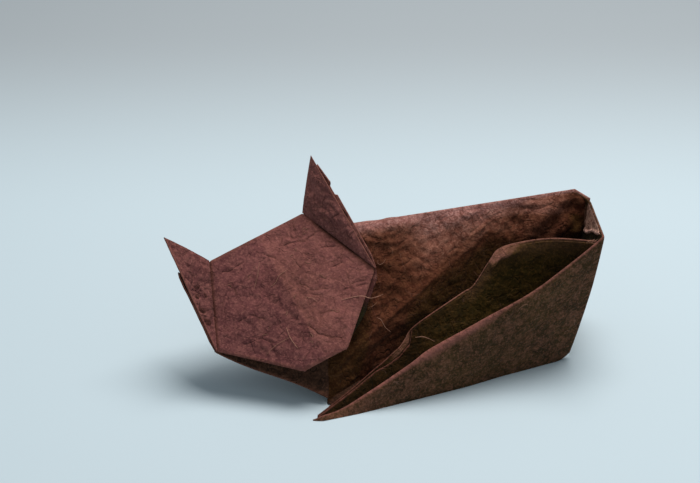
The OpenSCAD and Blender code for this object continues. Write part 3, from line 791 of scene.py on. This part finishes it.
# Outer strip: far side, round the rear corner, rear turn, round the tail's corner, outer wall to the tip
strip = dict(
    farSteps=110, turnSteps=44, wallSteps=190, thick=0.3, high=70, lining=34, tight=0.32,
    bandStops=(0, 0.1, 0.3, 0.45, 0.62, 0.78, 1), bandHigh=(0.4, 0.8, 1.8, 3.4, 3.0, 1.6, 1.0),
    bandIn=(0.1, 0.3, 0.8, 1.3, 1.1, 0.6, 0.35), otherHigh=0.7, otherIn=0.25,
    fullStops=(0, 0.06, 0.2, 0.35, 0.6, 0.72, 1), fuller=(0.2, 1.2, 1.3, 0.9, 0.6, 0, 0),
    fullWay=(-0.3, -0.95, 0), bow=0.6, bowWay=(0.91, -0.41, 0), lump=0.08, lumpCell=4.5,
    creases=((60, 0.6, 6.0, 91), (520, 0.26, 2.0, 92)),
    brightStops=(0, 0.2, 0.45, 0.6, 0.68, 0.8, 1, 1.15, 2),
    bright=(0.7, 0.9, 1, 1, 0.65, 0.65, 0.75, 0.3, 0.1),
)
q = np.linspace(0, 1, strip["farSteps"], endpoint=False)
r = np.linspace(0, 1, strip["turnSteps"], endpoint=False)
w = np.linspace(1, 0, strip["wallSteps"])
footPath = np.concatenate([mix(farFront, farRear, q), mix(farRear, tailFoot, r), wallFoot(w)])
topPath = np.concatenate([backLine(q), mix(corner, tailTop, r), wallTop(w)])
along = np.concatenate([q - 2, r - 1, 1 - w])
isWall = along >= 0
wallAt = np.clip(1 - along, 0, 2)


# Path with the sharp turns at the given places eased by a running mean
def easedTurns(path, spots, wide):
    kernel = np.hanning(2 * wide + 3)[1:-1]
    padded = np.pad(path, ((wide, wide), (0, 0)), mode="edge")
    soft = np.stack([np.convolve(padded[:, k], kernel / kernel.sum(), "valid") for k in range(3)], -1)
    near = np.zeros(len(path))
    for spot in spots:
        near = np.maximum(near, bell(np.arange(len(path)), spot, 1.2 * wide))
    return path + (soft - path) * near[:, None]


turns = (strip["farSteps"], strip["farSteps"] + strip["turnSteps"])
footPath, topPath = easedTurns(footPath, turns, 3), easedTurns(topPath, turns[1:], 3)
topPath = easedTurns(topPath, turns[:1], 7)
fuller = np.where(isWall, np.interp(wallAt, strip["fullStops"], strip["fuller"]), 0)
footPath = footPath + fuller[:, None] * np.array(strip["fullWay"])
flatter = np.where(isWall, 0.4 + 0.6 * ease(0, 0.07, wallAt), 1.0)
topPath = footPath + (topPath - footPath) * flatter[:, None]
tall = np.linalg.norm(topPath - footPath, axis=-1)
up = (topPath - footPath) / tall[:, None]
outside = unit(np.cross(up, np.gradient(footPath + topPath, axis=0)))
bandHigh = np.where(isWall, np.interp(wallAt, strip["bandStops"], strip["bandHigh"]), strip["otherHigh"])
bandHigh = np.minimum(bandHigh, 0.5 * tall)
bandIn = np.where(isWall, np.interp(wallAt, strip["bandStops"], strip["bandIn"]), strip["otherIn"])
bandIn = np.minimum(bandIn, 0.2 * tall)
tight = np.minimum(strip["tight"], 0.2 * tall)

# Profile of the strip: up the outside, inwards on a quarter ellipse, over a tight fold and down the lining
t, lean = strip["thick"] / 2, math.radians(80)
plain = (tall - bandHigh)[:, None]
v = np.linspace(0, 1, strip["high"], endpoint=False)
outerA, outerB = plain * v, t + 0 * plain * v
a = np.radians(np.linspace(0, 80, 12))
curveA = plain + bandHigh[:, None] * np.sin(a) / math.sin(lean)
curveB = t - bandIn[:, None] * (1 - np.cos(a))
a = np.radians(np.linspace(80, 250, 9)[1:])
foldA = tall[:, None] + tight[:, None] * (np.sin(a) - math.sin(lean))
foldB = curveB[:, -1:] + tight[:, None] * (np.cos(a) - math.cos(lean))
v = np.linspace(0, 1, strip["lining"])[1:]
liningA = foldA[:, -1:] * (1 - v)
liningB = foldB[:, -1:] + (-t - foldB[:, -1:]) * ease(0, 0.35, v)
highs = np.concatenate([outerA, curveA, foldA, liningA], 1)
outs = np.concatenate([outerB, curveB, foldB, liningB], 1)
share = highs / tall[:, None]
bulge = np.sin(math.pi * np.clip(share, 0, 1))
belly = np.where(along < -1, cat["farBelly"] * np.sin(math.pi * np.clip(along + 2, 0, 1)), 0)
outs = outs + belly[:, None] * bulge
grid = footPath[:, None] + up[:, None] * highs[..., None] + outside[:, None] * outs[..., None]
fromHeel = np.arange(len(along)) - turns[1]
heel = bell(fromHeel, 0, 5.0)[:, None]
grid = grid + (strip["bow"] * heel * bulge)[..., None] * np.array(strip["bowWay"])
calm = ease(0, 2.0, highs) * ease(0.0, 3.0, plain - highs) + 0.25 * ease(0, 3.0, highs)
far = np.cumsum(np.linalg.norm(np.gradient(footPath, axis=0), axis=-1))[:, None] + 0 * highs
h, dark = crushed(far, highs, strip["creases"])
h = (h + lumps(grid, strip["lump"], strip["lumpCell"], 93)) * calm * (1 - 0.8 * heel)
grid = grid + outside[:, None] * h[..., None]
grid[..., 2] = np.maximum(grid[..., 2], 0)
n, m = grid.shape[:2]
ids, after, faces = tubeFaces(n, m)
points = np.concatenate([grid.reshape(-1, 3), grid[:1].mean(1), grid[-1:].mean(1)])
capA = np.stack([ids[0], np.full(m, n * m), after[0]], -1)
capB = np.stack([ids[-1], after[-1], np.full(m, n * m + 1)], -1)

# Strip marks: a painted highlight along the rounded top fold, the tip and the heel's edge lighter, and
# painted light on the lining at the rear turn, where light shows through the sheet
broad = 0.34 + 0.55 * bell(wallAt, 0.5, 0.05) + 0.3 * bell(wallAt, 0.6, 0.06) - 0.2 * ease(0.64, 0.7, wallAt)
broad = broad * bandHigh + 0.3
bright = np.interp(wallAt, strip["brightStops"], strip["bright"])
wearAndHighlight = ease(0, 1, 1 - np.abs(highs - tall[:, None]) / broad[:, None]) * bright[:, None]
wearAndHighlight = np.maximum(wearAndHighlight, 0.12 * ease(0.42, 0.2, wallAt)[:, None])
wearAndHighlight = np.maximum(wearAndHighlight, 0.5 * bell(fromHeel, 0, 1.6)[:, None])
inside = (np.arange(m) > strip["high"] + 20) * np.exp(-((along + 0.5) / 0.45) ** 4)[:, None]
wearAndHighlight = np.maximum(wearAndHighlight, 0.7 * inside * ease(0.3, 0.8, share))
marks = np.stack([wearAndHighlight, dark, 0 * wearAndHighlight], -1).reshape(-1, 3)
marks = np.concatenate([marks, np.zeros((2, 3))])
makePiece("outerStrip", points, faces.tolist() + capA.tolist() + capB.tolist(), marks, wallPaper)

# Inner layer of the rear turn: a paler copy of the paper, painted light where light shows through the sheet;
# its lower edge rolled to a lip
turnLayer = dict(
    along=90, across=110, alongShares=(0.04, 0.97), highShares=(0.5, 0.985), long=20, high=34,
    lipShares=(0.73, 0.3), wave=0.008, waves=14, rollWide=0.014, off=0.42, crumple=0.4, roll=0.3,
    darkStops=(0.7, 0.75, 0.8, 0.85, 1), darkTo=(0.366, 0.242, 0.127, 0.03, 0.03), thick=0.12, rim=0.03,
    creases=((14, 0.5, 3.0, 101), (60, 0.2, 1.4, 102)),
)
r, f = gridOf(turnLayer["along"], turnLayer["across"], turnLayer["alongShares"], turnLayer["highShares"])
low, high = mix(farRear, tailFoot, r), mix(corner, tailTop, r)
inwards = unit(np.cross(tailTop - corner, high[0, 0] - low[0, 0]))
inwards = inwards * np.sign(np.dot(inwards, neck - corner))
h, dark = crushed(turnLayer["long"] * r, turnLayer["high"] * f, turnLayer["creases"])
first, share = turnLayer["lipShares"]
lip = f - (first + share * r) - turnLayer["wave"] * np.sin(turnLayer["waves"] * r)
roll = bell(lip, 0, turnLayer["rollWide"]) * ease(0.08, 0.2, r)
away = turnLayer["off"] + turnLayer["crumple"] * np.abs(h) + turnLayer["roll"] * roll
grid = low + (high - low) * f[..., None] + inwards * away[..., None]
# Painted shade below the lip and left of a line down the layer; painted highlight along the rolled lip
pastDark = r - np.interp(f, turnLayer["darkStops"], turnLayer["darkTo"])
shade = 1.4 * np.maximum(ease(-0.008, -0.025, lip), ease(0.03, -0.03, pastDark))
wearAndHighlight = np.maximum(0.5 * ease(0.95, 1, f), roll)
makeSheet("turnLayer", grid, turnLayer, [wearAndHighlight, dark, shade], litTurnPaper)

# Inner wall of the tail: two layers, the front one cut lower over a stretch, the top edge curled at the rear
flap = dict(
    along=180, across=64, thick=0.26, rim=0.1, apart=0.42, split=0.2, splitShares=(0.2, 0.42),
    lump=0.1, lumpCell=4.0, creases=((30, 0.7, 5.0, 111), (260, 0.32, 2.0, 112)),
    curl=0.9, curlShares=(0.655, 0.7, 0.80, 0.88), curlAt=0.952, dip=0.09, dipAt=0.315, dipWide=0.045,
    facetStops=(0.665, 0.68, 0.72, 0.779, 0.81, 0.845), facetLow=(1.0, 0.972, 0.952, 0.939, 0.962, 1.0),
    frontStops=(0, 0.10, 0.20, 0.262, 0.30, 0.36, 0.38, 1.0),
    frontHigh=(0.995, 0.96, 0.92, 0.86, 0.80, 0.83, 0.985, 0.985),
)


# Inner wall: straight lines from foot to top edge, bulged where the edge curls and parted where it splits
def flapShell(front):
    s, f = gridOf(flap["along"], flap["across"])
    f = f ** 0.85
    frontTop = np.interp(s, flap["frontStops"], flap["frontHigh"])
    top = frontTop if front else 1.0 - flap["dip"] * bell(s, flap["dipAt"], flap["dipWide"])
    g = f * top
    low, high = flapFoot(s), flapTop(s)
    p = low + (high - low) * g[..., None]
    along = np.minimum(1, smoothLine(flapRows, s)[..., 0] * (1 - s) + s * s)
    wallShare = np.interp(along, [row[0] for row in wallRows], np.linspace(0, 1, len(wallRows)))
    wider = np.interp(wallShare, strip["fullStops"], strip["fuller"]) * ease(0.4, 0, g)
    p = p + wider[..., None] * np.array(strip["fullWay"])
    c = flap["curlShares"]
    curl = flap["curl"] * ease(c[0], c[1], s) * ease(c[3], c[2], s) * bell(g, flap["curlAt"], 0.03)
    first, last = flap["splitShares"]
    part = flap["split"] * np.sin(math.pi * np.clip((s - first) / (last - first), 0, 1))
    off = -curl + (-flap["apart"] * ease(0.0, 0.25, g) if front else part * g ** 3)
    wide = np.linalg.norm(high - low, axis=-1)
    h, dark = crushed(cat["tailLong"] * s, wide * g, flap["creases"])
    h = (h + lumps(p, flap["lump"], flap["lumpCell"], 113)) * ease(0, 0.3, g) * ease(0.05, 0.15, s)
    p = p + np.stack([0 * s, off + h * ease(1.02, 0.9, g), 0 * s], -1)
    points, faces, border = sheetShell(p, flap["thick"] / 2, -flap["thick"] / 2, flap["rim"])
    points[:, 2] = np.maximum(points[:, 2], 0)
    # Marks: worn top edges, a painted highlight on the curled facet, a lighter band near the top towards the
    # rear, pale streaks where the back layer shows, and painted shade over the front of the pocket
    wearAndHighlight = np.clip(1 - (top - g) * wide / (0.35 if front else 0.25), 0, 1)
    bare = ease(-0.02, 0.02, g - frontTop) * ease(0.38, 0.365, s) * ease(0.245, 0.29, s)
    if front:
        wearAndHighlight, bare = wearAndHighlight * ease(0.39, 0.375, s), 0 * s
    facet = ease(-0.006, 0.008, g - np.interp(s, flap["facetStops"], flap["facetLow"]))
    wearAndHighlight = np.maximum(wearAndHighlight, facet * (0.5 + 0.5 * ease(0.80, 0.76, s)))
    wearAndHighlight = np.maximum(wearAndHighlight, 0.16 * ease(0.8, 1.0, g) * ease(0.4, 0.6, s))
    wearAndHighlight = np.maximum(wearAndHighlight, 0.65 * bare * (0.55 + 0.8 * np.sin(70 * g + 40 * s) ** 8))
    shade = 0.45 * ease(0.5, 0.36, s) * (1 - bare)
    return points, faces, onShell([np.clip(wearAndHighlight, 0, 1), dark, shade], border)


makePiece("innerWall", *joined([flapShell(False), flapShell(True)]), flapPaper)
print("sheet folded")

# Loose fibres: thin tubes that lie on the paper or stand off its edges. Those on the face at fixed places are
# rows of points (across, up and lift) with a thickness and how pale they are
fibre = dict(
    sides=6, steps=22, wallCount=46, slopeCount=9, faceCount=16, heelCount=9, tipCount=12,
    face=(
        (((-2.2, -6.0, 0.14), (-4.0, -8.7, 0.22), (-6.4, -11.3, 0.1)), 0.042, 0.5),
        (((2.5, -10.8, 0.12), (0.2, -11.2, 0.22), (-1.4, -12.3, 0.2), (-2.8, -12.5, 0.1)), 0.045, 0.55),
        (((-4.1, -22.6, 0.14), (-4.5, -25.3, 0.26), (-4.2, -28.2, 0.12)), 0.06, 0.75),
        (((-10.8, -25.7, 0.12), (-7.8, -25.1, 0.24), (-4.3, -25.1, 0.14)), 0.042, 0.45),
        (((2.8, -18.6, 0.14), (4.1, -19.7, 0.29), (4.6, -20.9, 0.14)), 0.05, 0.7),
        (((9.5, -22.9, 0.14), (13.6, -24.1, 0.29), (15.6, -25.7, 0.54), (18.3, -26.3, 1.04)), 0.062, 0.85)),
)


# Tube along a curve through the rows, thinner towards both ends
def strand(rows, thick, pale):
    t = np.linspace(0, 1, fibre["steps"])
    line = smoothLine(rows, t)
    ahead = unit(np.gradient(line, axis=0))
    side = unit(np.cross(ahead, (0.3, 0.2, 1.0)))
    high = np.cross(side, ahead)
    a = np.linspace(0, 2 * math.pi, fibre["sides"], endpoint=False)[None, :, None]
    r = (thick * (0.4 + 0.6 * np.sqrt(np.sin(math.pi * np.clip(t, 0.001, 0.999)))))[:, None, None]
    ring = line[:, None] + r * (np.cos(a) * side[:, None] + np.sin(a) * high[:, None])
    n, m = ring.shape[:2]
    ids, _, tube = tubeFaces(n, m)
    ends = [ids[0, [3, 2, 1, 0]], ids[0, [5, 4, 3, 0]], ids[-1, [0, 1, 2, 3]], ids[-1, [0, 3, 4, 5]]]
    faces = np.concatenate([tube, np.array(ends)])[:, ::-1]
    return ring.reshape(-1, 3), faces, np.tile([pale, 0.0, 0.0], (n * m, 1))


# Places on the surfaces, a little above them
def onFace(x, y, lift):
    k = np.argmin((faceX - x) ** 2 + (faceY - y) ** 2)
    return onHead([x, y, faceRise(x, y) + faceH.flat[k] + face["front"] + lift])


def onWall(s, f, lift):
    out = np.array([0.04, -0.985, -0.13]) * (strip["thick"] / 2 + lift)
    return wallFoot(s) + (wallTop(s) - wallFoot(s)) * f + out


def onSide(s, f, lift):
    out = np.array([-0.17, -0.68, 0.71]) * (0.3 + lift)
    return backLine(s) + (creaseLine(np.array([s]))[0] - backLine(s)) * f + out


def onSteep(s, f, lift):
    high = creaseLine(np.array([s]))[0]
    return high + (nearFoot(s) - high) * f + np.array([-0.1, -0.95, 0.3]) * (0.3 + lift)


# Curl of a fibre: five points from a start, with an even turn
def curl(dice, long):
    heading, bend = dice.uniform(0, 2 * math.pi), dice.uniform(-1.1, 1.1)
    turns = heading + bend * np.arange(4)
    steps = np.stack([np.cos(turns), np.sin(turns)], -1) * long / 4
    return np.concatenate([np.zeros((1, 2)), np.cumsum(steps, 0)])


dice = np.random.RandomState(5)
strands = [strand([onFace(*spot) for spot in spots], thick, pale) for spots, thick, pale in fibre["face"]]
rows = [onSide(0.198, 0.93, 0.25) + (-1.1, 0.5, 0), onSide(0.214, 0.99, 0.5) + (-1.1, 0.5, 0),
        onSteep(0.225, 0.12, 0.5) + (-0.6, 0.3, 0), onSteep(0.242, 0.25, 0.5)]
strands.append(strand(rows, 0.055, 0.7))
edge = flapFoot(0.385) + (flapTop(0.385) - flapFoot(0.385)) * 0.86
rows = [edge, edge + (1.6, -1.5, 0.8), edge + (3.0, -2.0, 0.2), edge + (4.2, -2.4, -0.6)]
strands.append(strand(rows, 0.065, 0.75))
for k in range(fibre["wallCount"]):
    s, f = dice.uniform(0.25, 0.97), dice.uniform(0.06, 0.9)
    tallHere = np.linalg.norm(wallTop(s) - wallFoot(s))
    path = curl(dice, dice.uniform(1.2, 3.6))
    rows = [onWall(np.clip(s + a / cat["tailLong"], 0.05, 0.99), np.clip(f + b / tallHere, 0.02, 0.97), 0.12)
            for a, b in path]
    strands.append(strand(rows, 0.05, dice.choice([0.0, 0.1, 0.35], p=[0.5, 0.35, 0.15])))
for k in range(fibre["faceCount"]):
    at, path = dice.uniform((-12, -29), (12, -4)), curl(dice, dice.uniform(0.8, 2.4))
    rows = [onFace(at[0] + a, at[1] + b, 0.1) for a, b in path]
    strands.append(strand(rows, 0.045, dice.uniform(0.2, 0.5)))
for k in range(fibre["slopeCount"]):
    at, path = dice.uniform((0.15, 0.1), (0.9, 0.9)), curl(dice, dice.uniform(1.0, 3.0))
    rows = [onSide(at[0] + a / cat["backLong"], at[1] + b / 24, 0.25) for a, b in path]
    strands.append(strand(rows, 0.045, dice.uniform(0.1, 0.4)))
for k in range(fibre["heelCount"]):
    start = mix(flapTop(0.985), wallTop(0.985), dice.uniform(0.1, 0.8)) + dice.uniform(-0.5, 0.5, 3)
    path = np.cumsum(dice.uniform((-0.8, -0.2, -0.2), (-0.1, 0.3, 0.15), (3, 3)), 0)
    strands.append(strand(np.concatenate([start[None], start + path]), 0.05, dice.uniform(0.2, 0.6)))
for k in range(fibre["tipCount"]):
    s, f = dice.uniform(0.15, 0.25), dice.uniform(0.05, 0.5)
    rows = [onWall(s + a / cat["tailLong"], f, 0.05) for a in (0, 0.25, 0.5)]
    strands.append(strand(rows, 0.07, dice.uniform(0.5, 0.9)))
makePiece("looseFibres", *joined(strands), strandPaper)

# Floor, light and camera
# The floor greys towards the far side: painted shade
floor = dict(size=6.0, colour=(206, 222, 231), far=(178, 186, 192), away=(0.4067, 0.9135, 0),
             fade=(0.06, 0.21))
points = np.array([[-1, -1, 0], [1, -1, 0], [1, 1, 0], [-1, 1, 0]]) * floor["size"] / 2
mesh = bpy.data.meshes.new("floor")
mesh.from_pydata(points.tolist(), [], [[0, 1, 2, 3]])
ground = bpy.data.objects.new("floor", mesh)
scene.collection.objects.link(ground)
paleFloor = bpy.data.materials.new("paleFloor")
paleFloor.use_nodes = True
nodes, links = paleFloor.node_tree.nodes, paleFloor.node_tree.links
shader = nodes["Principled BSDF"]
spot, across = nodes.new("ShaderNodeTexCoord"), nodes.new("ShaderNodeVectorMath")
across.operation = "DOT_PRODUCT"
across.inputs[1].default_value = floor["away"]
span = nodes.new("ShaderNodeMapRange")
span.interpolation_type = "SMOOTHSTEP"
span.inputs["From Min"].default_value, span.inputs["From Max"].default_value = floor["fade"]
two = nodes.new("ShaderNodeMix")
two.data_type = "RGBA"
two.inputs[6].default_value, two.inputs[7].default_value = tone(*floor["colour"]), tone(*floor["far"])
links.new(spot.outputs["Object"], across.inputs[0])
links.new(across.outputs["Value"], span.inputs["Value"])
links.new(span.outputs["Result"], two.inputs[0])
links.new(two.outputs[2], shader.inputs["Base Color"])
shader.inputs["Roughness"].default_value = 0.9
shader.inputs["Specular IOR Level"].default_value = 0.1
mesh.materials.append(paleFloor)

light = dict(world=(0.79, 0.89, 0.94), worldPower=0.29, key=2.9, keyAt=(0.13, 0.06, 0.55), keySize=0.32,
             keyColour=(1.0, 0.97, 0.93), keyAim=(0, 0, 0.02))
world = bpy.data.worlds.new("studio")
world.use_nodes = True
backdrop = world.node_tree.nodes["Background"]
backdrop.inputs["Color"].default_value = light["world"] + (1.0,)
backdrop.inputs["Strength"].default_value = light["worldPower"]
scene.world = world


# Square lamp that faces a point
def softBox(name, at, aim, size, power, colour):
    lamp = bpy.data.lights.new(name, "AREA")
    lamp.shape, lamp.size, lamp.energy, lamp.color = "SQUARE", size, power, colour
    holder = bpy.data.objects.new(name, lamp)
    holder.location = at
    back = np.array(at) - np.array(aim)
    tilt = math.acos(back[2] / np.linalg.norm(back))
    holder.rotation_euler = (tilt, 0, math.atan2(back[1], back[0]) + math.pi / 2)
    scene.collection.objects.link(holder)


softBox("key", light["keyAt"], light["keyAim"], light["keySize"], light["key"], light["keyColour"])

view = dict(turn=-24, rise=30, away=0.324, lens=70, aim=(24.9, 36.1, 20))
turn, rise = math.radians(view["turn"]), math.radians(view["rise"])
back = np.array([math.sin(turn) * math.cos(rise), -math.cos(turn) * math.cos(rise), math.sin(rise)])
lens = bpy.data.cameras.new("camera")
lens.lens, lens.sensor_width, lens.sensor_fit, lens.clip_start = view["lens"], 36, "HORIZONTAL", 0.01
camera = bpy.data.objects.new("camera", lens)
camera.location = (np.array(view["aim"]) - middle) * mm + back * view["away"]
camera.rotation_euler = (math.radians(90) - rise, 0, turn)
scene.collection.objects.link(camera)
scene.camera = camera
print("stage set")
